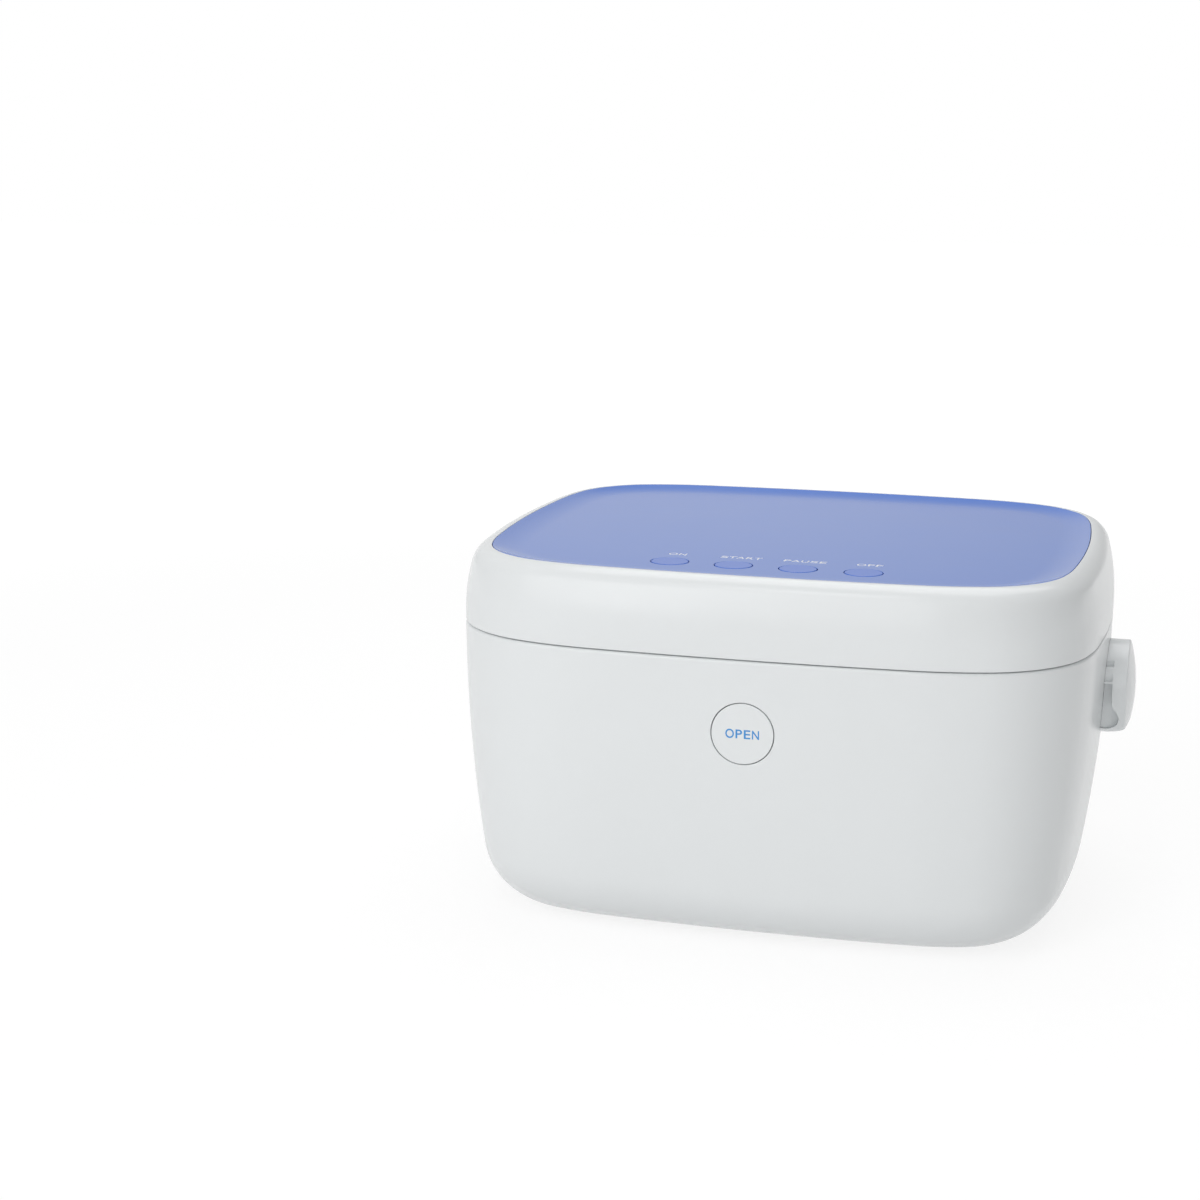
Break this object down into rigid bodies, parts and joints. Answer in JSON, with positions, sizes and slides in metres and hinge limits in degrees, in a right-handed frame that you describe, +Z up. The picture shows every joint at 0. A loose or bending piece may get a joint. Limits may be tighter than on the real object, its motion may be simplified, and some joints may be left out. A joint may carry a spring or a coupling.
{
  "type": "cpap sanitizer",
  "caption": "Countertop UVC sanitizing box for CPAP masks and hoses: a reflective chamber under a hinged lid with a dished blue control panel, front latch button and two side studs.",
  "frame": {"origin": "centre of the underside, on the plane the feet stand on, under the middle of the whole box", "axes": "+X to the right seen from the front, +Y from the front to the hinge side, +Z up"},
  "size_m": [0.3472, 0.2854, 0.1852],
  "materials": {
    "casing_white": "gloss",
    "open_cap_white": "gloss",
    "panel_blue": "gloss",
    "button_blue": "gloss",
    "underside_grey": "fine texture",
    "deck_white": "satin",
    "tub_aluminium": "bright brushed",
    "rack_steel": "polished",
    "pad_silicone": "matt",
    "foot_rubber": "matt",
    "gasket_rubber": "matt",
    "hinge_steel": "brushed",
    "screw_steel": "zinc plated",
    "spring_steel": "drawn wire",
    "bezel_steel": "satin",
    "board_white": "solder mask",
    "board_green": "solder mask",
    "led_ceramic": "ceramic",
    "quartz_clear": "clear",
    "part_black": "moulded",
    "lead_sleeve": "satin",
    "latch_acetal": "moulded",
    "magnet_nickel": "nickel plated"
  },
  "bodies": {
    "base": {"base_shell": "casing_white", "base_deck": "deck_white", "deck_screws": "screw_steel", "bottom_cover": "underside_grey", "cover_screws": "screw_steel", "rubber_feet": "foot_rubber", "chamber_liner": "tub_aluminium", "wire_rack": "rack_steel", "rack_pads": "pad_silicone", "uvc_board_base": "board_white", "board_spacers_base": "screw_steel", "uvc_leds_base": "led_ceramic", "led_windows_base": "quartz_clear", "window_bezels_base": "bezel_steel", "power_board": "board_green", "power_components": "part_black", "power_board_screws": "screw_steel", "dc_inlet": "part_black", "inlet_nut": "screw_steel", "inlet_lead": "lead_sleeve", "base_harness": "lead_sleeve", "hinge_brackets_base": "hinge_steel", "hinge_screws_base": "screw_steel", "hinge_pins": "hinge_steel", "button_guide": "latch_acetal", "latch_bracket": "hinge_steel", "latch_pin": "hinge_steel", "latch_spring": "spring_steel", "bracket_screws": "screw_steel", "lid_sensor": "part_black", "strap_stud_left": "casing_white", "strap_stud_right": "casing_white", "stud_screws": "screw_steel", "open_button_spring": "spring_steel"},
    "open_button": {"open_button": "open_cap_white"},
    "latch": {"latch_lever": "latch_acetal"},
    "lid": {"lid_shell": "casing_white", "lid_panel": "panel_blue", "lid_liner": "tub_aluminium", "lid_gasket": "gasket_rubber", "lid_screws": "screw_steel", "lid_catch": "latch_acetal", "catch_screws": "screw_steel", "hinge_brackets_lid": "hinge_steel", "hinge_screws_lid": "screw_steel", "control_board": "board_green", "control_board_screws": "screw_steel", "tact_switches": "part_black", "uvc_board_lid": "board_white", "board_spacers_lid": "screw_steel", "uvc_leds_lid": "led_ceramic", "led_windows_lid": "quartz_clear", "window_bezels_lid": "bezel_steel", "lid_magnet": "magnet_nickel", "lid_harness": "lead_sleeve"},
    "on_button": {"on_button": "button_blue"},
    "start_button": {"start_button": "button_blue"},
    "pause_button": {"pause_button": "button_blue"},
    "off_button": {"off_button": "button_blue"}
  },
  "joints": [
    {"name": "lid_hinge", "type": "hinge", "parent": "base", "child": "lid", "pos_m": [0, 0.13775, 0.1475], "axis": [-1, 0, 0], "range_deg": [0, 100]},
    {"name": "open_press", "type": "slide", "parent": "base", "child": "open_button", "axis": [0, 1, 0], "range_m": [0, 0.0025], "stiffness_N_per_m": 300, "deforming": ["open_button_spring"]},
    {"name": "latch_swing", "type": "hinge", "parent": "base", "child": "latch", "pos_m": [0, -0.12925, 0.08], "axis": [-1, 0, 0], "range_deg": [0, 4.6], "deforming": ["latch_spring"]},
    {"name": "on_press", "type": "slide", "parent": "lid", "child": "on_button", "axis": [0, 0, -1], "range_m": [0, 0.0008], "stiffness_N_per_m": 500},
    {"name": "start_press", "type": "slide", "parent": "lid", "child": "start_button", "axis": [0, 0, -1], "range_m": [0, 0.0008], "stiffness_N_per_m": 500},
    {"name": "pause_press", "type": "slide", "parent": "lid", "child": "pause_button", "axis": [0, 0, -1], "range_m": [0, 0.0008], "stiffness_N_per_m": 500},
    {"name": "off_press", "type": "slide", "parent": "lid", "child": "off_button", "axis": [0, 0, -1], "range_m": [0, 0.0008], "stiffness_N_per_m": 500}
  ],
  "couplings": [
    {"joint": "latch_swing", "follows": "open_press", "rad_per_m": 31.25}
  ]
}
